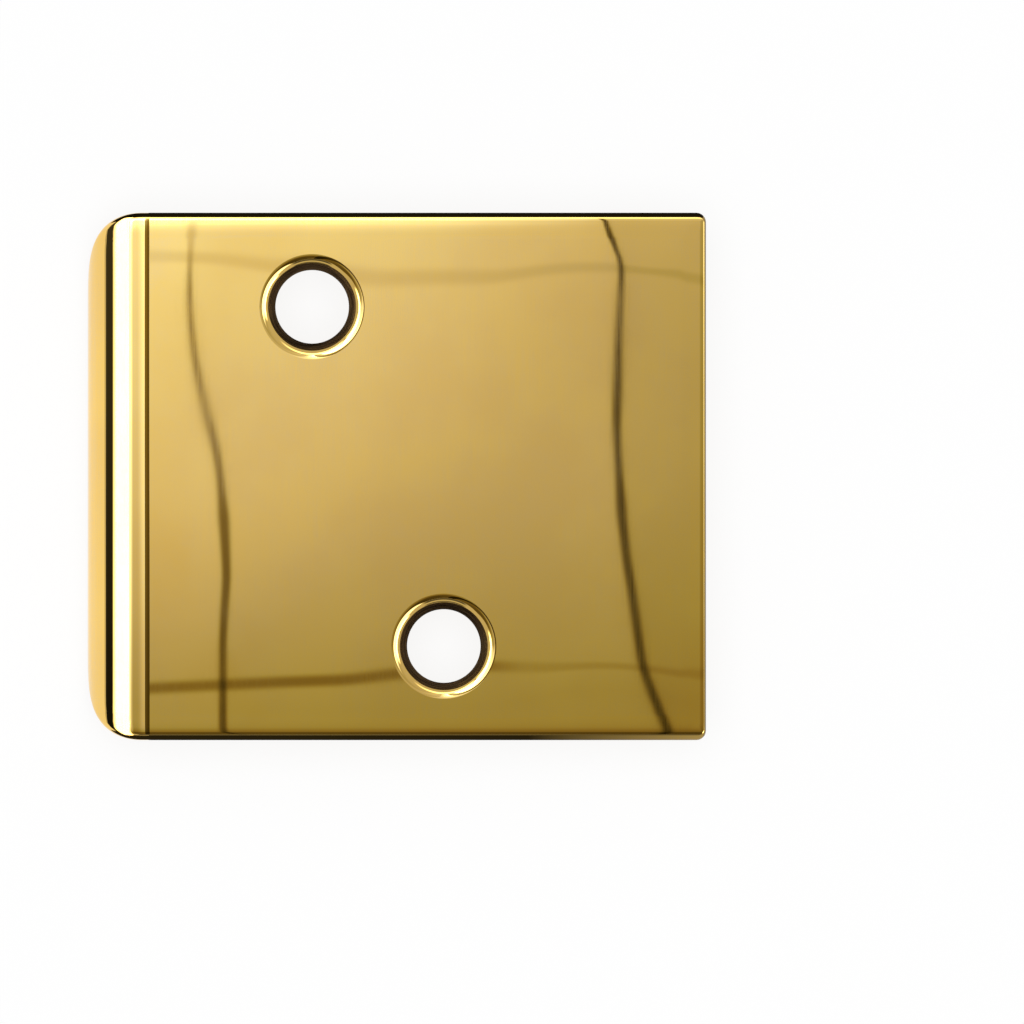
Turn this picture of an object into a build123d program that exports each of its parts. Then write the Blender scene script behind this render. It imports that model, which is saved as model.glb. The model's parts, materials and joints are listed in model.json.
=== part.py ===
from build123d import *
import os
from math import cos, pi, radians, sin, tan

# Strike plate extender: one piece of polished brass sheet.
#
# The flat plate is screwed to the door jamb beside the strike. Its lip curls back round the edge of the
# jamb, so that the latch bolt rides over brass instead of wood. The flat blank is punched with two
# corners of the lip rounded off, pressed round a bend, drilled, countersunk, and polished until its
# front edges are soft.
#
# Frame: the origin is midway between the two screw holes, on the back face that bears on the jamb.
# +Z points out of the front face, +Y runs up the plate and -X points towards the curled lip.

# Sheet and outline, in millimetres
sheet_thickness = 1.6
plate_height = 44.45
flat_length = 47.0
end_corner_radius = 0.8
edge_round = 0.6

# Curled lip: its outside radius, how far it turns, and its corners as they are cut in the flat blank
lip_radius = 5.3
lip_angle = 90.0
lip_corner_radius = 7.6

# Two staggered screw holes, countersunk from the front
hole_rise = 28.6
hole_stagger = 11.1
hole_to_free_end = 22.1
hole_diameter = 6.2
hole_land = 0.7
countersink_angle = 82.0
rim_round = 1.2

# Places that follow from the sizes above
free_end_x = hole_stagger / 2 + hole_to_free_end
bend_x = free_end_x - flat_length
bend_axis_z = sheet_thickness - lip_radius
lip_turn = radians(lip_angle)
lip_length = lip_radius * lip_turn
hole_places = [(-hole_stagger / 2, hole_rise / 2), (hole_stagger / 2, -hole_rise / 2)]


def make_flat():
    """The flat plate, with its two corners rounded at the free end."""
    outline = Pos((bend_x + free_end_x) / 2, 0) * Rectangle(flat_length, plate_height)
    free_corners = outline.vertices().group_by(Axis.X)[-1]
    return extrude(fillet(free_corners, end_corner_radius), sheet_thickness)


def lip_outer_point(turn):
    """Point on the lip's outside at mid-height, where turn is the angle from the flat in radians."""
    return Vector(bend_x - lip_radius * sin(turn), 0, bend_axis_z + lip_radius * cos(turn))


def lip_outline():
    """The lip's outline, seen square on to the middle of its curl, with the bend axis at u = 0.

    Each corner is a quarter circle in the flat blank, whose points follow the sheet round the bend.
    """
    corner = min(lip_corner_radius, lip_length)
    half_height = plate_height / 2
    corner_steps = 8

    def seen(along):
        return lip_radius * sin(along / lip_radius - lip_turn / 2)

    top_corner = []
    for step in range(corner_steps + 1):
        sweep = step / corner_steps * pi / 2
        along = lip_length - corner + corner * sin(sweep)
        top_corner.append((seen(along), half_height - corner * (1 - cos(sweep))))
    bottom_corner = [(u, -height) for u, height in reversed(top_corner)]

    top = Spline(*top_corner, tangents=[(1, 0), (0, -1)])
    bottom = Spline(*bottom_corner, tangents=[(0, -1), (-1, 0)])
    before_bend = seen(0) - sheet_thickness
    start = Polyline(bottom @ 1, (before_bend, -half_height), (before_bend, half_height), top @ 0)
    tip = Line(top @ 1, bottom @ 0)
    return make_face([top, tip, bottom, start])


def make_lip():
    """The curled lip: its outside is cut to outline from an oversize curl, then given its thickness."""
    oversize_turn = lip_turn + radians(10)
    curl = ThreePointArc(*[lip_outer_point(oversize_turn * share) for share in (0, 0.5, 1)]).edge()
    across = Vector(0, 2 * plate_height, 0)
    oversize = Face.extrude(curl.moved(Pos(across * -0.5)), across)
    square_on = Plane(
        origin=(bend_x, 0, bend_axis_z),
        x_dir=(-cos(lip_turn / 2), 0, -sin(lip_turn / 2)),
        z_dir=(-sin(lip_turn / 2), 0, cos(lip_turn / 2)),
    )
    punch = extrude(square_on * lip_outline(), 2 * lip_radius)
    outside = (oversize & punch).face()
    return thicken(outside, sheet_thickness, normal_override=-square_on.z_dir)


def front_face(plate):
    """The flat front of the plate."""
    return plate.faces().filter_by(Plane.XY).sort_by(Axis.Z)[-1]


def soften_outline(plate):
    """Round the edges all along the front and the lip's outside, but not the seam between the two."""
    front = front_face(plate)
    outside = plate.faces().filter_by(GeomType.CYLINDER).sort_by(SortBy.AREA)[-1]
    seam = front.edges() & outside.edges()
    outline = [edge for face in (front, outside) for edge in face.edges() if edge not in seam]
    return fillet(outline, edge_round)


def drill(plate):
    """Drill and countersink the two screw holes, and soften their rims."""
    radius = hole_diameter / 2
    sink_radius = radius + (sheet_thickness - hole_land) * tan(radians(countersink_angle / 2))
    hole = CounterSinkHole(radius, sink_radius, 2 * sheet_thickness, countersink_angle)
    for x, y in hole_places:
        plate = plate - Pos(x, y, sheet_thickness) * hole
    rims = [edge for wire in front_face(plate).inner_wires() for edge in wire.edges()]
    return fillet(rims, rim_round)


extender_plate = drill(soften_outline(make_flat() + make_lip()))

os.makedirs("parts", exist_ok=True)
export_step(extender_plate, "parts/extender_plate.step")
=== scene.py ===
"""Polished brass strike plate extender, laid face up in a small white studio.

The plate is one pressed piece, and it is modelled as it is made. A flat blank is punched with rounded
corners, its front edges are polished round, its two screw holes are countersunk, and its lip is curled
back round the edge of the door jamb. Sheet that has been pressed is never quite flat, so its face is
left very slightly uneven, and the studio's seams bend where the face mirrors them.
"""

import json
import logging
import math
from collections.abc import Callable
from dataclasses import dataclass, field
from enum import Enum

import bpy
from mathutils import Matrix, Vector


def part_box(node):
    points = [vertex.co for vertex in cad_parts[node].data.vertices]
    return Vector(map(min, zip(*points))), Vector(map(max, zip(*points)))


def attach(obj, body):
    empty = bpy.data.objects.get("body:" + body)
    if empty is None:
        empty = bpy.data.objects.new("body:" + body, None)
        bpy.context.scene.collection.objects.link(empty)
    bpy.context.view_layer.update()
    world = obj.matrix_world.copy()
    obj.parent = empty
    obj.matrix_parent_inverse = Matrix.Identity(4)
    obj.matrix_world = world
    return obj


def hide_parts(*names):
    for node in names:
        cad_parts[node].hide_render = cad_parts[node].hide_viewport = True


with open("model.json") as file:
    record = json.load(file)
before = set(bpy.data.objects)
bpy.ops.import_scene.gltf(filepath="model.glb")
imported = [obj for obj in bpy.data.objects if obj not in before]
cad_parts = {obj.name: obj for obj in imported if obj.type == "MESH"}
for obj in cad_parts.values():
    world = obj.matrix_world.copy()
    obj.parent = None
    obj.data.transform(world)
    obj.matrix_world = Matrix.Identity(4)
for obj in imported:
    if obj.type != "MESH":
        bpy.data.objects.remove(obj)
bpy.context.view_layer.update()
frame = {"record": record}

NODE = "extender_plate"
BODY = "root"
MM = 0.001
HAIR = 0.005 * MM
BACKWARD = -0.9
WHITE = (1.0, 1.0, 1.0, 1.0)

log = logging.getLogger(NODE)


class Paint(Enum):
    """Which of the plate's finishes a face has, by its place in the material slots."""

    POLISHED = 0
    ROLLED = 1
    DRILLED = 2


class NodeSheet:
    """A material's or world's node tree, with short calls to add and join nodes."""

    def __init__(self, owner: bpy.types.Material | bpy.types.World) -> None:
        """Start from an empty tree.

        Args:
            owner: The material or world whose tree is written.
        """
        owner.use_nodes = True
        self.tree = owner.node_tree
        self.tree.nodes.clear()

    def add(self, kind: str, **settings: object) -> bpy.types.Node:
        """Add a node.

        Args:
            kind: The node's type name, without its ShaderNode prefix.
            settings: Values for the node's own properties.

        Returns:
            The new node.
        """
        node = self.tree.nodes.new("ShaderNode" + kind)
        for name, value in settings.items():
            setattr(node, name, value)
        return node

    def feed(self, socket: bpy.types.NodeSocket, value: object) -> None:
        """Join an output to a socket, or set the socket's own value.

        Args:
            socket: The input socket.
            value: An output socket, a number, or a colour.
        """
        if isinstance(value, bpy.types.NodeSocket):
            self.tree.links.new(value, socket)
        else:
            socket.default_value = value

    def math(self, operation: str, first: object, second: object = 0.0, third: object = 0.0) -> object:
        """Do one sum.

        Args:
            operation: The Math node's operation.
            first: A socket or a number.
            second: A socket or a number.
            third: A socket or a number.

        Returns:
            The socket that holds the answer.
        """
        node = self.add("Math", operation=operation)
        for socket, value in zip(node.inputs, (first, second, third)):
            self.feed(socket, value)
        return node.outputs[0]

    def place(self) -> tuple[object, object, object]:
        """Give the object coordinates x, y and z as three sockets."""
        split = self.add("SeparateXYZ")
        self.feed(split.inputs[0], self.add("TexCoord").outputs["Object"])
        return split.outputs[0], split.outputs[1], split.outputs[2]

    def ramp(
        self, value: object, low: float, high: float, to_low: object, to_high: object, soft: bool = True
    ) -> object:
        """Map a range on to another one, without overshoot.

        Args:
            value: The socket to map.
            low: Start of its range.
            high: End of its range.
            to_low: What the start becomes.
            to_high: What the end becomes.
            soft: Ease in and out instead of going straight.

        Returns:
            The mapped socket.
        """
        node = self.add("MapRange", interpolation_type="SMOOTHSTEP" if soft else "LINEAR")
        for socket, number in zip(node.inputs, (value, low, high, to_low, to_high)):
            self.feed(socket, number)
        return node.outputs[0]

    def stretched_noise(self, lengths: tuple[float, float, float], detail: float) -> object:
        """Make noise whose grains have one length along each axis.

        Args:
            lengths: The grains' lengths along x, y and z.
            detail: How many finer layers the noise has.

        Returns:
            The noise as a socket.
        """
        stretch = self.add("Mapping")
        self.feed(stretch.inputs["Vector"], self.add("TexCoord").outputs["Object"])
        self.feed(stretch.inputs["Scale"], tuple(1 / length for length in lengths))
        noise = self.add("TexNoise")
        self.feed(noise.inputs["Vector"], stretch.outputs[0])
        self.feed(noise.inputs["Scale"], 1.0)
        self.feed(noise.inputs["Detail"], detail)
        return noise.outputs[0]

    def blend(self, share: object, first: tuple[float, ...], second: tuple[float, ...]) -> object:
        """Mix two colours.

        Args:
            share: How much of the second there is.
            first: The first colour.
            second: The second colour.

        Returns:
            The mixed colour as a socket.
        """
        mix = self.add("Mix", data_type="RGBA")
        self.feed(mix.inputs["Factor"], share)
        self.feed(mix.inputs["A"], (*first, 1.0))
        self.feed(mix.inputs["B"], (*second, 1.0))
        return mix.outputs["Result"]

    def metal(self, colour: object, roughness: object) -> bpy.types.Node:
        """Add a metal shader and join it to the output.

        Args:
            colour: The colour socket.
            roughness: The roughness socket.

        Returns:
            The shader node.
        """
        shader = self.add("BsdfPrincipled")
        self.feed(shader.inputs["Base Color"], colour)
        self.feed(shader.inputs["Metallic"], 1.0)
        self.feed(shader.inputs["Roughness"], roughness)
        self.feed(self.add("OutputMaterial").inputs["Surface"], shader.outputs[0])
        return shader

    def light(self, strength: object, colour: object = WHITE, share: object = 1.0) -> None:
        """Make the material a plain light.

        Args:
            strength: A socket or a number.
            colour: A socket or a colour, white unless it is given.
            share: How much of the light there is, with the rest clear.
        """
        emission = self.add("Emission")
        self.feed(emission.inputs["Color"], colour)
        self.feed(emission.inputs["Strength"], strength)
        mixed = self.add("MixShader")
        self.feed(mixed.inputs[0], share)
        self.feed(mixed.inputs[1], self.add("BsdfTransparent").outputs[0])
        self.feed(mixed.inputs[2], emission.outputs[0])
        self.feed(self.add("OutputMaterial").inputs["Surface"], mixed.outputs[0])


def select_faces(piece: bpy.types.Object, chosen: Callable[[bpy.types.MeshPolygon], bool]) -> None:
    """Go into edit mode with some faces selected and nothing else.

    Args:
        piece: The active mesh object.
        chosen: A test of one face.
    """
    bpy.ops.object.mode_set(mode="EDIT")
    bpy.ops.mesh.select_mode(type="FACE")
    bpy.ops.mesh.select_all(action="DESELECT")
    bpy.ops.object.mode_set(mode="OBJECT")
    for polygon in piece.data.polygons:
        polygon.select = chosen(polygon)
    bpy.ops.object.mode_set(mode="EDIT")


def select_vertices(piece: bpy.types.Object, chosen: Callable[[bpy.types.MeshVertex], bool]) -> None:
    """Go into edit mode with some vertices selected and nothing else.

    Args:
        piece: The active mesh object.
        chosen: A test of one vertex.
    """
    bpy.ops.object.mode_set(mode="EDIT")
    bpy.ops.mesh.select_mode(type="VERT")
    bpy.ops.mesh.select_all(action="DESELECT")
    bpy.ops.object.mode_set(mode="OBJECT")
    for vertex in piece.data.vertices:
        vertex.select = chosen(vertex)
    bpy.ops.object.mode_set(mode="EDIT")


def deselect_all() -> None:
    """Leave every object unselected, the frame's own nodes too."""
    bpy.ops.object.select_all(action="DESELECT")


def activate(piece: bpy.types.Object) -> None:
    """Make one object the only selected one and the active one."""
    deselect_all()
    piece.select_set(True)
    bpy.context.view_layer.objects.active = piece


def apply_modifier(piece: bpy.types.Object, kind: str, **settings: object) -> None:
    """Add a modifier and apply it at once.

    Args:
        piece: The active mesh object.
        kind: The modifier's type.
        settings: Values for its properties.
    """
    modifier = piece.modifiers.new(kind.lower(), kind)
    for name, value in settings.items():
        setattr(modifier, name, value)
    bpy.ops.object.modifier_apply(modifier=modifier.name)


@dataclass(frozen=True)
class PolishedBrass:
    """Bright buffed brass under clear lacquer, for the front and the edges."""

    colour: tuple[float, float, float] = (0.93, 0.605, 0.135)
    warm_colour: tuple[float, float, float] = (0.91, 0.575, 0.115)
    cloud: float = 9.0 * MM
    cloud_layers: float = 3.0
    cloud_span: tuple[float, float] = (0.35, 0.65)
    buff_length: float = 6.0 * MM
    buff_width: float = 0.05 * MM
    buff_layers: float = 2.0
    haze_span: tuple[float, float] = (0.12, 0.40)
    smoothest: float = 0.008
    roughest: float = 0.016
    lacquer: float = 0.7
    lacquer_roughness: float = 0.015

    def material(self) -> bpy.types.Material:
        """Make the material.

        Returns:
            The lacquered brass.
        """
        material = bpy.data.materials.new("polished_brass")
        sheet = NodeSheet(material)
        clouds = sheet.stretched_noise((self.cloud, self.cloud, self.cloud), self.cloud_layers)
        warm = sheet.ramp(clouds, *self.cloud_span, 0.0, 1.0)
        marks = (self.buff_width, self.buff_length, self.buff_length)
        haze = sheet.math("MULTIPLY", sheet.stretched_noise(marks, self.buff_layers), clouds)
        roughness = sheet.ramp(haze, *self.haze_span, self.smoothest, self.roughest)
        shader = sheet.metal(sheet.blend(warm, self.colour, self.warm_colour), roughness)
        sheet.feed(shader.inputs["Coat Weight"], self.lacquer)
        sheet.feed(shader.inputs["Coat Roughness"], self.lacquer_roughness)
        return material


@dataclass(frozen=True)
class RolledBrass:
    """Brass as it left the rolling mill, for the back that nobody polishes."""

    colour: tuple[float, float, float] = (0.72, 0.50, 0.20)
    dull_colour: tuple[float, float, float] = (0.56, 0.38, 0.15)
    line_length: float = 14.0 * MM
    line_width: float = 0.12 * MM
    line_layers: float = 4.0
    dull_span: tuple[float, float] = (0.35, 0.65)
    rough_span: tuple[float, float] = (0.3, 0.7)
    smoothest: float = 0.28
    roughest: float = 0.46

    def material(self) -> bpy.types.Material:
        """Make the material.

        Returns:
            The dull brass, with the mill's lines along the plate's length.
        """
        material = bpy.data.materials.new("rolled_brass")
        sheet = NodeSheet(material)
        marks = (self.line_length, self.line_width, self.line_length)
        lines = sheet.stretched_noise(marks, self.line_layers)
        dull = sheet.ramp(lines, *self.dull_span, 0.0, 1.0)
        roughness = sheet.ramp(lines, *self.rough_span, self.smoothest, self.roughest)
        sheet.metal(sheet.blend(dull, self.colour, self.dull_colour), roughness)
        return material


@dataclass(frozen=True)
class DrilledBrassPaintedShade:
    """Drilled brass in the holes where the rim gets steep: a rougher finish with the cutter's rings,
    made dark brown by painted shade.
    """

    # Painted shade: these dark colours stand for the shade that the hole's steep walls mirror, not for
    # the metal's own tone.
    colour: tuple[float, float, float] = (0.05, 0.028, 0.010)
    bright_colour: tuple[float, float, float] = (0.12, 0.07, 0.025)
    ring_height: float = 0.05 * MM
    ring_length: float = 3.0 * MM
    ring_layers: float = 3.0
    bright_span: tuple[float, float] = (0.4, 0.7)
    rough_span: tuple[float, float] = (0.3, 0.7)
    smoothest: float = 0.25
    roughest: float = 0.42

    def material(self) -> bpy.types.Material:
        """Make the material.

        Returns:
            The brass darkened with painted shade, with the cutter's rings round each hole.
        """
        material = bpy.data.materials.new("drilled_brass_painted_shade")
        sheet = NodeSheet(material)
        marks = (self.ring_length, self.ring_length, self.ring_height)
        rings = sheet.stretched_noise(marks, self.ring_layers)
        bright = sheet.ramp(rings, *self.bright_span, 0.0, 1.0)
        roughness = sheet.ramp(rings, *self.rough_span, self.smoothest, self.roughest)
        sheet.metal(sheet.blend(bright, self.colour, self.bright_colour), roughness)
        return material


@dataclass
class ScrewHole:
    """One countersunk screw hole, placed and sized by its mount."""

    mount: dict
    sheet: float
    sink_angle: float = math.radians(82)
    rim_round: float = 1.2 * MM
    rim_steps: int = 12
    # Rim slope past which the hole gets painted shade.
    shade_turn: float = math.radians(37)
    sides: int = 128
    clear: float = 1.0 * MM

    @property
    def centre(self) -> Vector:
        """The hole's place on the plate."""
        return Vector(self.mount["pos_m"][:2])

    @property
    def radius(self) -> float:
        """Radius of the hole itself."""
        return self.mount["dims"]["r_mm"] * MM

    @property
    def land(self) -> float:
        """How far up the hole goes before it opens out."""
        return self.mount["dims"]["length_mm"] * MM

    @property
    def steepness(self) -> float:
        """Angle between the countersink's cone and the face."""
        return math.pi / 2 - self.sink_angle / 2

    @property
    def rim_radius(self) -> float:
        """Radius at which the rounded rim meets the flat face."""
        cone_top = self.radius + (self.sheet - self.land) * math.tan(self.sink_angle / 2)
        return cone_top + self.rim_round * math.tan(self.steepness / 2)

    @property
    def shade_radius(self) -> float:
        """Radius inside which the rim is steep enough to get the rough finish with painted shade."""
        return self.rim_radius - self.rim_round * math.sin(self.shade_turn)

    def distance(self, point: Vector) -> float:
        """Measure how far a point is from the hole's axis.

        Args:
            point: A point on the plate.

        Returns:
            The distance.
        """
        return (point.xy - self.centre).length

    def on_rim(self, vertex: bpy.types.MeshVertex) -> bool:
        """Tell whether a vertex lies where the rounded rim meets the flat face."""
        off_rim = abs(self.distance(vertex.co) - self.rim_radius)
        return off_rim < HAIR and abs(vertex.co.z - self.sheet) < HAIR

    def takes_painted_shade(self, face: bpy.types.MeshPolygon) -> bool:
        """Tell whether a face lies in the hole's steep part, which gets the rough finish with painted
        shade.
        """
        return self.distance(face.center) < self.shade_radius and face.normal.z > BACKWARD

    def profile(self) -> list[tuple[float, float]]:
        """Work out the cutter's outline as heights and radii, from under the sheet to above it.

        Returns:
            The pairs of height and radius.
        """
        points = [(-self.clear, self.radius), (self.land, self.radius)]
        for step in range(self.rim_steps):
            turn = self.steepness * (1 - step / self.rim_steps)
            drop = self.rim_round * (1 - math.cos(turn))
            points.append((self.sheet - drop, self.rim_radius - self.rim_round * math.sin(turn)))
        last_height, last_radius = points[-1]
        points.append((2 * self.sheet - last_height, 2 * self.rim_radius - last_radius))
        points.append((self.sheet + self.clear, points[-1][1]))
        return points

    def sink(self, blank: bpy.types.Object) -> None:
        """Cut the hole through a sheet, and keep the flat round it free of the rim's shading.

        Args:
            blank: The closed sheet, which is the active object afterwards.
        """
        points = self.profile()
        start_height, start_radius = points[0]
        deselect_all()
        bpy.ops.mesh.primitive_circle_add(
            vertices=self.sides,
            radius=start_radius,
            fill_type="NGON",
            location=(*self.centre, start_height),
        )
        cutter = bpy.context.object
        bpy.ops.object.transform_apply(location=True, rotation=False, scale=False)
        bpy.ops.object.mode_set(mode="EDIT")
        bpy.ops.mesh.select_all(action="SELECT")
        for (height, radius), (next_height, next_radius) in zip(points, points[1:]):
            rise = (0.0, 0.0, next_height - height)
            spread = next_radius / radius
            middle = (*self.centre, next_height)
            bpy.ops.mesh.extrude_region_move(TRANSFORM_OT_translate={"value": rise})
            bpy.ops.transform.resize(value=(spread, spread, 1.0), center_override=middle)
        bpy.ops.mesh.select_all(action="SELECT")
        bpy.ops.mesh.normals_make_consistent(inside=False)
        bpy.ops.object.mode_set(mode="OBJECT")
        activate(blank)
        apply_modifier(blank, "BOOLEAN", operation="DIFFERENCE", solver="EXACT", object=cutter)
        bpy.data.objects.remove(cutter)
        select_vertices(blank, self.on_rim)
        bpy.ops.mesh.mark_sharp()
        bpy.ops.object.mode_set(mode="OBJECT")
        # The steep faces in the hole get the rough drilled finish with painted shade.
        select_faces(blank, self.takes_painted_shade)
        blank.active_material_index = Paint.DRILLED.value
        bpy.ops.object.material_slot_assign()
        bpy.ops.object.mode_set(mode="OBJECT")


@dataclass(frozen=True)
class Press:
    """A place where the press left the sheet a little low."""

    x: float
    y: float
    drop: float
    reach: float


@dataclass
class ExtenderPlate:
    """The whole object: one punched, countersunk, polished and curled piece of brass sheet."""

    low: Vector
    high: Vector
    holes: list[ScrewHole]
    flat_length: float = 47.0 * MM
    lip_turn: float = math.radians(90)
    lip_corner: float = 7.6 * MM
    lip_corner_steps: int = 24
    end_corner: float = 0.8 * MM
    end_corner_steps: int = 6
    edge_round: float = 0.7 * MM
    edge_steps: int = 7
    end_share: float = 0.3
    shoulder_width: float = 1.2 * MM
    shoulder_slope: float = math.radians(2.4)
    shoulder_steps: int = 3
    back_break: float = 0.1 * MM
    cell: float = 0.75 * MM
    bend_margin: float = 0.15 * MM
    lip_rows: int = 24
    sharp_angle: float = math.radians(35)
    unevenness: list[Press] = field(
        default_factory=lambda: [
            Press(x=-7.5 * MM, y=17.5 * MM, drop=0.055 * MM, reach=26.5 * MM),
            Press(x=-15.0 * MM, y=2.5 * MM, drop=0.020 * MM, reach=16.5 * MM),
            Press(x=28.0 * MM, y=6.0 * MM, drop=0.044 * MM, reach=30.0 * MM),
            Press(x=16.5 * MM, y=-23.0 * MM, drop=0.017 * MM, reach=20.0 * MM),
            Press(x=10.5 * MM, y=-12.5 * MM, drop=0.003 * MM, reach=19.0 * MM),
            Press(x=20.0 * MM, y=-29.0 * MM, drop=0.030 * MM, reach=13.5 * MM),
            Press(x=19.5 * MM, y=7.0 * MM, drop=0.0125 * MM, reach=13.5 * MM),
            Press(x=23.0 * MM, y=23.5 * MM, drop=0.008 * MM, reach=6.0 * MM),
        ]
    )

    @property
    def sheet(self) -> float:
        """Thickness of the sheet, whose back lies at height 0."""
        return self.high.z

    @property
    def lip_radius(self) -> float:
        """Outside radius of the curl, which ends at the lowest point."""
        return self.high.z - self.low.z

    @property
    def bend_x(self) -> float:
        """Where the flat ends and the curl begins."""
        return self.high.x - self.flat_length

    @property
    def lip_length(self) -> float:
        """Length of the lip along its outside, before it is curled."""
        return self.lip_radius * self.lip_turn

    def edge(self) -> list[tuple[float, float]]:
        """Widths and rises of the bands that make up the rounded edge.

        Returns:
            A width and a rise for each band, from the side wall inwards.
        """
        turns = [i / self.edge_steps * math.pi / 2 for i in range(self.edge_steps + 1)]
        bands = []
        for turn, next_turn in zip(turns, turns[1:]):
            width = self.edge_round * (math.cos(turn) - math.cos(next_turn))
            rise = self.edge_round * (math.sin(next_turn) - math.sin(turn))
            bands.append((width, rise))
        return bands

    def shoulder(self) -> list[tuple[float, float]]:
        """Widths and rises of the bands inside the rounded edge, where polishing let the face fall away.

        Returns:
            A width and a rise for each band, from the edge inwards.
        """
        width = self.shoulder_width / self.shoulder_steps
        steps = range(self.shoulder_steps)
        slopes = [self.shoulder_slope * (1 - (i + 0.5) / self.shoulder_steps) for i in steps]
        return [(width, width * math.tan(slope)) for slope in slopes]

    def wall_top(self) -> float:
        """Height at which the rounded edge begins."""
        return self.sheet - sum(rise for _, rise in self.edge() + self.shoulder())

    def punch_blank(self) -> bpy.types.Object:
        """Punch the flat blank, with its four corners rounded, as a closed sheet without its soft edges.

        Returns:
            The blank, active and in edit mode with its front face selected.
        """
        tip_x = self.bend_x - self.lip_length
        centre = ((self.high.x + tip_x) / 2, (self.high.y + self.low.y) / 2, self.back_break)
        deselect_all()
        bpy.ops.mesh.primitive_plane_add(size=1.0, location=centre)
        blank = bpy.context.object
        blank.name = "brass_plate"
        blank.data.name = "brass_plate"
        blank.scale = (self.high.x - tip_x, self.high.y - self.low.y, 1.0)
        bpy.ops.object.transform_apply(location=True, rotation=False, scale=True)
        select_vertices(blank, lambda v: v.co.x < self.bend_x)
        bpy.ops.mesh.bevel(affect="VERTICES", offset=self.lip_corner, segments=self.lip_corner_steps)
        bpy.ops.object.mode_set(mode="OBJECT")
        select_vertices(blank, lambda v: v.co.x > self.bend_x)
        bpy.ops.mesh.bevel(affect="VERTICES", offset=self.end_corner, segments=self.end_corner_steps)
        bpy.ops.object.mode_set(mode="OBJECT")
        select_faces(blank, lambda face: True)
        wall = (0.0, 0.0, self.wall_top() - self.back_break)
        bpy.ops.mesh.extrude_region_move(TRANSFORM_OT_translate={"value": wall})
        return blank

    def polish_edges(self, blank: bpy.types.Object) -> None:
        """Round the front edges, let the face fall away to them, and break the back edges.

        Args:
            blank: The blank, in edit mode with its front face selected.
        """
        for width, rise in self.edge():
            bpy.ops.mesh.inset(thickness=width, depth=rise, use_even_offset=True)
        bpy.ops.mesh.select_mode(type="VERT")
        bpy.ops.mesh.remove_doubles(threshold=2 * (self.end_corner - self.edge_round))
        bpy.ops.mesh.select_mode(type="FACE")
        for width, rise in self.shoulder():
            bpy.ops.mesh.inset(thickness=width, depth=rise, use_even_offset=True)
        bpy.ops.object.mode_set(mode="OBJECT")
        select_faces(blank, lambda face: face.normal.z < BACKWARD)
        bpy.ops.mesh.inset(thickness=self.back_break, depth=self.back_break, use_even_offset=True)
        bpy.ops.object.mode_set(mode="OBJECT")
        select_faces(blank, lambda face: face.normal.z < BACKWARD)
        blank.active_material_index = Paint.ROLLED.value
        bpy.ops.object.material_slot_assign()
        bpy.ops.object.mode_set(mode="OBJECT")

    def keep_end_crisp(self, blank: bpy.types.Object) -> None:
        """Pull the rounded bands out towards the free end, which is sheared and hardly polished.

        Args:
            blank: The blank, in object mode, with only its corners to the right of the origin.
        """
        inset, height = 0.0, self.wall_top()
        for width, rise in self.edge() + self.shoulder():
            inset += width
            height += rise
            select_vertices(blank, lambda v: v.co.x > 0 and abs(v.co.z - height) < HAIR / 10)
            pull = (1 - self.end_share) * min(inset, self.edge_round)
            bpy.ops.transform.translate(value=(pull, 0.0, 0.0))
            bpy.ops.object.mode_set(mode="OBJECT")

    def divide(self, blank: bpy.types.Object) -> None:
        """Divide the whole sheet into cells, and the lip into the rows that it will curl along.

        Args:
            blank: The blank, in object mode.
        """
        across = round((self.high.y - self.low.y) / self.cell)
        along = round(self.flat_length / self.cell)
        rows = [self.bend_x + i / along * self.flat_length for i in range(along)]
        rows += [self.bend_x - i / self.lip_rows * self.lip_length for i in range(1, self.lip_rows)]
        rows += [self.bend_x + self.bend_margin]
        columns = [self.low.y + i / across * (self.high.y - self.low.y) for i in range(1, across)]
        cuts = [((x, 0.0, 0.0), (1.0, 0.0, 0.0)) for x in rows]
        cuts += [((0.0, y, 0.0), (0.0, 1.0, 0.0)) for y in columns]
        bpy.ops.object.mode_set(mode="EDIT")
        for place, normal in cuts:
            bpy.ops.mesh.select_all(action="SELECT")
            bpy.ops.mesh.bisect(plane_co=place, plane_no=normal)
        bpy.ops.object.mode_set(mode="OBJECT")

    def curl(self, blank: bpy.types.Object) -> None:
        """Curl the lip back, about an axis that keeps the length of its outside.

        Args:
            blank: The flat blank, in object mode.
        """
        towards_lip, downwards = Vector((-1, 0, 0)), Vector((0, 0, -1))
        turned = Matrix((towards_lip, downwards, towards_lip.cross(downwards))).transposed().to_4x4()
        former = bpy.data.objects.new("bending_former", None)
        bpy.context.scene.collection.objects.link(former)
        former.matrix_world = Matrix.Translation((self.bend_x, 0.0, self.sheet)) @ turned
        bpy.context.view_layer.update()
        activate(blank)
        apply_modifier(
            blank,
            "SIMPLE_DEFORM",
            deform_method="BEND",
            deform_axis="Z",
            origin=former,
            angle=self.lip_turn,
            limits=(self.flat_length / (self.flat_length + self.lip_length), 1.0),
        )
        bpy.data.objects.remove(former)

    def press_uneven(self, blank: bpy.types.Object) -> None:
        """Leave the sheet as uneven as a press leaves it, by a few hundredths of a millimetre.

        A tiny foot is set down at each place, pushed in with the sheet round it, and taken away again.

        Args:
            blank: The drilled blank, in object mode.
        """
        activate(blank)
        bpy.ops.object.mode_set(mode="EDIT")
        bpy.ops.mesh.select_mode(type="VERT")
        for press in self.unevenness:
            bpy.ops.mesh.select_all(action="DESELECT")
            place = (press.x, press.y, self.sheet)
            bpy.ops.mesh.primitive_circle_add(vertices=3, radius=HAIR, location=place)
            bpy.ops.transform.translate(
                value=(0.0, 0.0, -press.drop),
                use_proportional_edit=True,
                proportional_edit_falloff="SMOOTH",
                proportional_size=press.reach,
            )
            bpy.ops.mesh.delete(type="VERT")
        bpy.ops.object.mode_set(mode="OBJECT")

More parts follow.
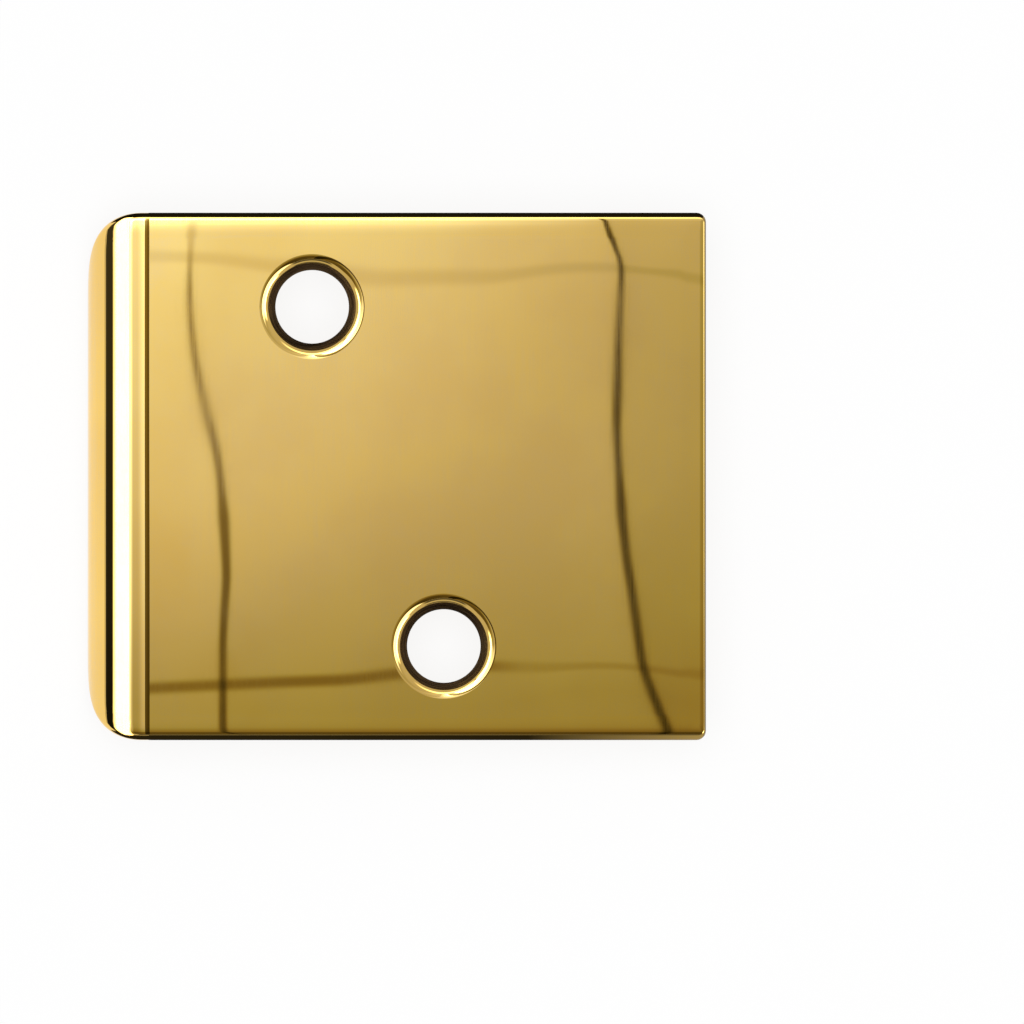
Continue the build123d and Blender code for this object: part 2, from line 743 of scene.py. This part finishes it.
    def build(self) -> bpy.types.Object:
        """Make the plate and dress it.

        Returns:
            The finished piece, riding on its body and standing for its node.
        """
        blank = self.punch_blank()
        for finish in (PolishedBrass(), RolledBrass(), DrilledBrassPaintedShade()):
            blank.data.materials.append(finish.material())
        self.polish_edges(blank)
        self.keep_end_crisp(blank)
        self.divide(blank)
        for hole in self.holes:
            hole.sink(blank)
        self.press_uneven(blank)
        self.curl(blank)
        bpy.ops.object.shade_smooth_by_angle(angle=self.sharp_angle)
        apply_modifier(blank, "WEIGHTED_NORMAL", mode="FACE_AREA", keep_sharp=True)
        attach(blank, BODY)
        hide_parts(NODE)
        return blank


def only_reflected(card: bpy.types.Object) -> None:
    """Let a studio card show in the metal alone, and keep it out of the picture and off the floor."""
    card.visible_camera = False
    card.visible_diffuse = False
    card.visible_shadow = False


@dataclass(frozen=True)
class Seam:
    """A darker seam in the overhead panel, along its length or across it."""

    along_y: bool
    place: float
    core: float
    fade: float
    depth: float
    tilt: float = 0.0
    starts_from: float = -1.0
    faint_from: float = 1.0
    thin_from: float = 1.0
    thin_to: float = 1.0
    thinner: float = 1.0


@dataclass(frozen=True)
class Grade:
    """A place where the panel gets brighter or dimmer, going along x or up along y."""

    up_y: bool
    start: float
    end: float
    before: float
    after_left: float
    after_right: float


@dataclass(frozen=True)
class Tint:
    """How much of one colour the panel has: less where it is dim, and more where it is bright."""

    dim: float
    plain: float
    dim_share: float
    bright: float
    brightest: float
    gain: float

    def share(self, sheet: NodeSheet, glow: object) -> object:
        """Write the colour's share.

        Args:
            sheet: The node tree of the panel's material.
            glow: The socket that holds the panel's brightness.

        Returns:
            The socket that holds the share.
        """
        plain = sheet.ramp(glow, self.dim, self.plain, self.dim_share, 1.0)
        gain = sheet.ramp(glow, self.bright, self.brightest, 0.0, self.gain)
        return sheet.math("ADD", plain, gain)


@dataclass
class OverheadPanel:
    """The white panel over the plate, which is what its flat face mirrors."""

    centre: Vector
    height: float = 0.8
    half_size: float = 0.6
    left: float = -0.0455
    right: float = 0.0233
    bottom: float = -0.026
    top: float = 0.035
    top_left: float = 1.03
    top_right: float = 0.65
    bottom_left: float = 0.40
    bottom_right: float = 0.355
    seam_step: float = 0.008
    faint_share: float = 1 / 3
    tilt_from: float = -0.05
    tilt_to: float = 0.026
    seams: tuple[Seam, ...] = (
        Seam(
            along_y=True, place=-0.0379, core=0.0002, fade=0.0008, depth=0.75,
            faint_from=0.027, thin_from=0.012, thin_to=0.030, thinner=1.9,
        ),
        Seam(
            along_y=True, place=0.0161, core=0.0002, fade=0.0008, depth=0.88,
            thin_from=0.012, thin_to=0.028, thinner=1.7,
        ),
        Seam(
            along_y=False, place=-0.0209, core=0.0002, fade=0.0012, depth=0.52,
            tilt=0.046, starts_from=-0.058, faint_from=-0.004,
        ),
        Seam(
            along_y=False, place=0.0291, core=0.0002, fade=0.0012, depth=0.15,
            tilt=-0.090, starts_from=-0.058,
        ),
        Seam(along_y=True, place=-0.0945, core=0.0420, fade=0.0425, depth=0.85),
    )
    grades: tuple[Grade, ...] = (
        Grade(up_y=False, start=-0.58, end=-0.46, before=2.5, after_left=1.0, after_right=1.0),
        Grade(up_y=False, start=-0.35, end=-0.14, before=1.0, after_left=1.5, after_right=1.5),
        Grade(up_y=False, start=-0.0911, end=-0.0909, before=1.0, after_left=0.667, after_right=0.667),
        Grade(up_y=False, start=-0.0385, end=-0.0373, before=1.06, after_left=1.0, after_right=1.0),
        Grade(up_y=False, start=0.0155, end=0.0167, before=1.0, after_left=0.88, after_right=0.88),
        Grade(up_y=False, start=0.09, end=0.14, before=1.0, after_left=0.75, after_right=0.75),
        Grade(up_y=True, start=-0.25, end=-0.03, before=0.25, after_left=1.0, after_right=1.0),
        Grade(up_y=True, start=0.04, end=0.12, before=1.0, after_left=1.7, after_right=1.05),
        Grade(up_y=True, start=0.10, end=0.40, before=1.0, after_left=2.4, after_right=1.3),
    )
    east_glow: float = 2.6
    east_start: float = 0.22
    east_full: float = 0.32
    east_fades_from: float = 0.05
    east_fades_to: float = 0.20
    green: Tint = Tint(dim=0.20, plain=0.40, dim_share=0.80, bright=0.65, brightest=1.05, gain=0.10)
    blue: Tint = Tint(dim=0.20, plain=0.60, dim_share=0.30, bright=0.60, brightest=1.05, gain=0.40)

    def glow(self, sheet: NodeSheet) -> object:
        """Write the panel's brightness, which falls from one corner to the other and at each seam.

        Args:
            sheet: The node tree of the panel's material.

        Returns:
            The socket that holds the brightness.
        """
        x, y, _ = sheet.place()
        x = sheet.math("SUBTRACT", x, self.centre.x)
        y = sheet.math("SUBTRACT", y, self.centre.y)
        upper = sheet.ramp(x, self.left, self.right, self.top_left, self.top_right, soft=False)
        lower = sheet.ramp(x, self.left, self.right, self.bottom_left, self.bottom_right, soft=False)
        glow = sheet.ramp(y, self.bottom, self.top, lower, upper, soft=False)
        step = self.seam_step
        for seam in self.seams:
            along, across = (y, x) if seam.along_y else (x, y)
            tilted = (self.tilt_from, self.tilt_to)
            near = sheet.ramp(along, *tilted, *tilted, soft=False)
            off = sheet.math("SUBTRACT", across, sheet.math("MULTIPLY_ADD", near, seam.tilt, seam.place))
            thin = sheet.ramp(along, seam.thin_from - step, seam.thin_from, 1.0, seam.thinner)
            thin = sheet.ramp(along, seam.thin_to, seam.thin_to + step, thin, 1.0)
            off = sheet.math("MULTIPLY", off, thin)
            dark, faint = 1 - seam.depth, 1 - seam.depth * self.faint_share
            core_glow = sheet.ramp(along, seam.faint_from, seam.faint_from + step, dark, faint)
            core_glow = sheet.ramp(along, seam.starts_from, seam.starts_from + step, 1.0, core_glow)
            shade = sheet.ramp(sheet.math("ABSOLUTE", off), seam.core, seam.fade, core_glow, 1.0)
            glow = sheet.math("MULTIPLY", glow, shade)
        for grade in self.grades:
            place = y if grade.up_y else x
            after = sheet.ramp(x, self.left, self.right, grade.after_left, grade.after_right)
            change = sheet.ramp(place, grade.start, grade.end, grade.before, after)
            glow = sheet.math("MULTIPLY", glow, change)
        east = sheet.ramp(x, self.east_start, self.east_full, 0.0, self.east_glow)
        fading = sheet.ramp(y, self.east_fades_from, self.east_fades_to, 1.0, 0.0)
        return sheet.math("MULTIPLY_ADD", east, fading, glow)

    def colour(self, sheet: NodeSheet, glow: object) -> object:
        """Write the panel's colour, which is cool where it is bright and brown in its seams.

        Args:
            sheet: The node tree of the panel's material.
            glow: The socket that holds the brightness.

        Returns:
            The socket that holds the colour.
        """
        colour = sheet.add("CombineColor")
        shares = (1.0, self.green.share(sheet, glow), self.blue.share(sheet, glow))
        for socket, share in zip(colour.inputs, shares):
            sheet.feed(socket, share)
        return colour.outputs[0]

    def build(self) -> bpy.types.Object:
        """Hang the panel.

        Returns:
            The panel, seen only in reflections.
        """
        deselect_all()
        bpy.ops.mesh.primitive_plane_add(
            size=2 * self.half_size, location=(self.centre.x, self.centre.y, self.height)
        )
        panel = bpy.context.object
        panel.name = "overhead_panel"
        bpy.ops.object.transform_apply(location=True, rotation=False, scale=False)
        material = bpy.data.materials.new("overhead_panel")
        sheet = NodeSheet(material)
        glow = self.glow(sheet)
        sheet.light(glow, self.colour(sheet, glow))
        panel.data.materials.append(material)
        only_reflected(panel)
        return panel


@dataclass(frozen=True)
class Card:
    """A card over a straight line on the floor, whose brightness goes from one end to the other.

    It stands upright, unless its top edge leans to the right of the line.
    """

    name: str
    start: tuple[float, float]
    end: tuple[float, float]
    bottom: float
    top: float
    start_glow: float
    end_glow: float
    soft: float = 0.0
    lean: float = 0.0

    def fade(self, sheet: NodeSheet, along: object, up: object) -> object:
        """Write how the card fades away towards its four edges.

        Args:
            sheet: The node tree of the card's material.
            along: The socket that goes from 0 at the card's start to 1 at its end.
            up: The socket that goes from 0 at the card's bottom to 1 at its top.

        Returns:
            The socket that is 1 inside the card and 0 at its edges.
        """
        share = 1.0
        for place in (along, up):
            share = sheet.math("MULTIPLY", share, sheet.ramp(place, 0.0, self.soft, 0.0, 1.0))
            share = sheet.math("MULTIPLY", share, sheet.ramp(place, 1.0 - self.soft, 1.0, 1.0, 0.0))
        return share

    def build(self) -> bpy.types.Object:
        """Stand the card in its place.

        Returns:
            The card, seen only in reflections.
        """
        deselect_all()
        bpy.ops.mesh.primitive_plane_add(size=1.0, location=(0.0, 0.0, 0.0))
        card = bpy.context.object
        card.name = self.name
        start, end = Vector((*self.start, 0.0)), Vector((*self.end, 0.0))
        sideways = end - start
        to_right = sideways.cross(Vector((0.0, 0.0, 1.0))).normalized()
        upwards = self.lean * to_right + Vector((0.0, 0.0, self.top - self.bottom))
        middle = (start + end + upwards) / 2 + Vector((0.0, 0.0, self.bottom))
        turned = Matrix((sideways, upwards, sideways.cross(upwards).normalized())).transposed().to_4x4()
        card.matrix_world = Matrix.Translation(middle) @ turned
        bpy.ops.object.transform_apply(location=True, rotation=True, scale=True)
        material = bpy.data.materials.new(self.name)
        sheet = NodeSheet(material)
        split = sheet.add("SeparateXYZ")
        sheet.feed(split.inputs[0], sheet.add("TexCoord").outputs["UV"])
        along, up = split.outputs[0], split.outputs[1]
        share = self.fade(sheet, along, up) if self.soft else 1.0
        sheet.light(sheet.ramp(along, 0.0, 1.0, self.start_glow, self.end_glow, soft=False), share=share)
        card.data.materials.append(material)
        only_reflected(card)
        return card


@dataclass
class Floor:
    """The plain white table under the plate, which keeps the plate's soft shadow."""

    height: float
    centre: Vector
    size: float = 6.0
    colour: float = 0.86
    white_share: float = 0.85

    def build(self) -> bpy.types.Object:
        """Lay the floor.

        Returns:
            The floor, as part of the stage.
        """
        deselect_all()
        middle = (self.centre.x, self.centre.y, self.height)
        bpy.ops.mesh.primitive_plane_add(size=self.size, location=middle)
        floor = bpy.context.object
        floor.name = "white_table"
        bpy.ops.object.transform_apply(location=True, rotation=False, scale=False)
        material = bpy.data.materials.new("white_table")
        sheet = NodeSheet(material)
        path = sheet.add("LightPath")
        seen = sheet.math("MAXIMUM", path.outputs["Is Camera Ray"], path.outputs["Is Glossy Ray"])
        seen = sheet.math("MAXIMUM", seen, path.outputs["Is Transmission Ray"])
        share = sheet.math("MULTIPLY", seen, self.white_share)
        matte = sheet.add("BsdfDiffuse")
        sheet.feed(matte.inputs["Color"], (self.colour, self.colour, self.colour, 1.0))
        white = sheet.add("Emission")
        mixed = sheet.add("MixShader")
        sheet.feed(mixed.inputs[0], share)
        sheet.feed(mixed.inputs[1], matte.outputs[0])
        sheet.feed(mixed.inputs[2], white.outputs[0])
        sheet.feed(sheet.add("OutputMaterial").inputs["Surface"], mixed.outputs[0])
        floor.data.materials.append(material)
        return floor


@dataclass
class FarCards:
    """The bright cards on three sides of the room, and the dark ones on the fourth."""

    centre: Vector
    wall: float = 0.6
    bottom: float = 0.48
    top: float = 0.80
    side_reach: float = 0.25
    side_glow: float = 6.5
    north_start_glow: float = 6.0
    north_end_glow: float = 0.4
    fade: float = 0.2
    south_left: float = 0.36
    south_right: float = 0.30
    south_glow: float = 0.10
    south_fade: float = 0.15
    south_heights: tuple[tuple[str, float, float], ...] = (
        ("south_low_shade", 0.20, 0.32),
        ("south_high_shade", 0.46, 0.80),
    )

    def cards(self) -> list[Card]:
        """List the cards.

        Returns:
            The bright ones to the west, north and east, and the dark ones to the south.
        """
        x, y = self.centre.x, self.centre.y
        west, east, south, north = x - self.wall, x + self.wall, y - self.wall, y + self.wall
        heights, reach = (self.bottom, self.top), self.side_reach
        side_glows = (self.side_glow, self.side_glow)
        north_glows = (self.north_start_glow, self.north_end_glow)
        cards = [
            Card("west_softbox", (west, y - reach), (west, north), *heights, *side_glows, self.fade),
            Card("north_softbox", (west, north), (east, north), *heights, *north_glows, self.fade),
            Card("east_softbox", (east, south), (east, y + reach), *heights, *side_glows, self.fade),
        ]
        start, end, glow = (x - self.south_left, south), (x + self.south_right, south), self.south_glow
        for name, bottom, top in self.south_heights:
            cards.append(Card(name, start, end, bottom, top, glow, glow, self.south_fade))
        return cards


@dataclass
class NearCards:
    """The strips close beside the plate: dark ones that stand in for the shade beside it and draw its
    outline in the metal, and the light that leans over its lip.
    """

    low: Vector
    high: Vector
    bend_x: float
    gap: float = 3.0 * MM
    close_gap: float = 0.5 * MM
    lip_shade_drop: float = 1.1 * MM
    lip_shade_rise: float = 0.9 * MM
    lip_shade_start_glow: float = 0.005
    lip_shade_end_glow: float = 0.05
    light_inset: float = 0.4 * MM
    light_reach: float = 17.0 * MM
    light_drop: float = 0.37 * MM
    light_rise: float = 2.26 * MM
    light_lean: float = 1.8 * MM
    light_glow: float = 6.0
    light_fade: float = 0.25
    upper_lip_rise: float = 2.0 * MM
    lower_lip_rise: float = 2.3 * MM
    upper_rise: float = 0.45 * MM
    lower_rise: float = 0.65 * MM
    end_rise: float = 0.3 * MM
    corner_length: float = 15.0 * MM
    upper_glow: float = 0.01
    lower_glow: float = 0.02
    corner_glow: float = 0.40
    end_glow: float = 0.30

    def lip_cards(self) -> list[Card]:
        """List the cards along the lip.

        Returns:
            The dark strip beside the lip, and the light that leans over it.
        """
        face, west = self.high.z, self.low.x - self.gap
        south, north = self.low.y - self.gap, self.high.y + self.gap
        over_lip = self.low.x + self.light_inset
        shade = Card(
            "lip_shade",
            start=(west, south),
            end=(west, north),
            bottom=face - self.lip_shade_drop,
            top=face + self.lip_shade_rise,
            start_glow=self.lip_shade_start_glow,
            end_glow=self.lip_shade_end_glow,
        )
        light = Card(
            "lip_softbox",
            start=(over_lip, south - self.light_reach),
            end=(over_lip, north + self.light_reach),
            bottom=face - self.light_drop,
            top=face + self.light_rise,
            start_glow=self.light_glow,
            end_glow=self.light_glow,
            soft=self.light_fade,
            lean=self.light_lean,
        )
        return [shade, light]

    def edge_cards(self) -> list[Card]:
        """List the strips that stand on the floor along the other edges.

        Returns:
            The strips above the plate, below it and along its free end.
        """
        west, bend, east = self.low.x - self.gap, self.bend_x, self.high.x + self.close_gap
        south, north = self.low.y - self.gap, self.high.y + self.gap
        near_south, near_north = self.low.y - self.close_gap, self.high.y + self.close_gap
        corner = self.high.x - self.corner_length
        upper, lower, lit, last = self.upper_glow, self.lower_glow, self.corner_glow, self.end_glow
        # These dark strips are painted shade: they stand in for the shaded table beside the plate, which
        # the edges mirror.
        strips = (
            ("upper_lip_shade", (west, north), (bend, north), self.upper_lip_rise, upper, upper),
            ("lower_lip_shade", (west, south), (bend, south), self.lower_lip_rise, lower, lower),
            ("upper_shade", (bend, near_north), (east, near_north), self.upper_rise, upper, upper),
            ("lower_shade", (bend, near_south), (corner, near_south), self.lower_rise, lower, lower),
            ("lower_corner_shade", (corner, near_south), (east, near_south), self.lower_rise, lower, lit),
            ("end_shade", (east, near_south), (east, near_north), self.end_rise, last, last),
        )
        cards = []
        for name, start, end, rise, start_glow, end_glow in strips:
            cards.append(Card(name, start, end, self.low.z, self.high.z + rise, start_glow, end_glow))
        return cards


@dataclass
class Studio:
    """Floor, panel, cards, soft lamp and room light round the plate."""

    low: Vector
    high: Vector
    centre: Vector
    bend_x: float
    room_glow: float = 0.75
    lamp_height: float = 1.2
    lamp_size: float = 1.6
    lamp_power: float = 12.0

    def build(self) -> None:
        """Set up the whole studio."""
        Floor(self.low.z - HAIR, self.centre).build()
        OverheadPanel(self.centre).build()
        near = NearCards(self.low, self.high, self.bend_x)
        for card in FarCards(self.centre).cards() + near.lip_cards() + near.edge_cards():
            card.build()
        lamp = bpy.data.lights.new("soft_lamp", "AREA")
        lamp.size = self.lamp_size
        lamp.energy = self.lamp_power
        holder = bpy.data.objects.new("soft_lamp", lamp)
        holder.location = (self.centre.x, self.centre.y, self.lamp_height)
        holder.visible_glossy = False
        bpy.context.scene.collection.objects.link(holder)
        world = bpy.data.worlds.new("room")
        bpy.context.scene.world = world
        sheet = NodeSheet(world)
        seen = sheet.add("LightPath").outputs["Is Camera Ray"]
        light = sheet.add("Background")
        strength = sheet.math("MULTIPLY_ADD", seen, 1.0 - self.room_glow, self.room_glow)
        sheet.feed(light.inputs["Strength"], strength)
        sheet.feed(sheet.add("OutputWorld").inputs["Surface"], light.outputs[0])


@dataclass
class TopCamera:
    """The camera, which looks straight down on the face through a long lens."""

    plate_low: Vector
    plate_high: Vector
    lens: float = 600.0
    sensor: float = 36.0
    field_width: float = 86.27 * MM
    right_of_plate: float = 9.78 * MM
    below_plate: float = 3.0 * MM

    def build(self) -> bpy.types.Object:
        """Set up the camera.

        Returns:
            The camera, which is the scene's own.
        """
        data = bpy.data.cameras.new("top_camera")
        data.lens = self.lens
        data.sensor_width = self.sensor
        camera = bpy.data.objects.new("top_camera", data)
        middle = (self.plate_low + self.plate_high) / 2
        height = self.field_width * self.lens / self.sensor
        camera.location = (
            middle.x + self.right_of_plate,
            middle.y - self.below_plate,
            self.plate_high.z + height,
        )
        bpy.context.scene.collection.objects.link(camera)
        bpy.context.scene.camera = camera
        return camera


def main() -> None:
    """Build the plate, its studio and its camera."""
    logging.basicConfig(level=logging.INFO, format="%(name)s: %(message)s")
    bpy.context.scene.view_settings.view_transform = "Standard"
    low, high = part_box(NODE)
    mounts = [mount for mount in frame["record"]["mounts"] if mount["kind"] == "bore"]
    plate = ExtenderPlate(low, high, [ScrewHole(mount, high.z) for mount in mounts])
    piece = plate.build()
    log.info("%s has %d faces", piece.name, len(piece.data.polygons))
    camera = TopCamera(low, high).build()
    Studio(low, high, Vector((camera.location.x, camera.location.y, 0.0)), plate.bend_x).build()


if __name__ == "__main__":
    main()
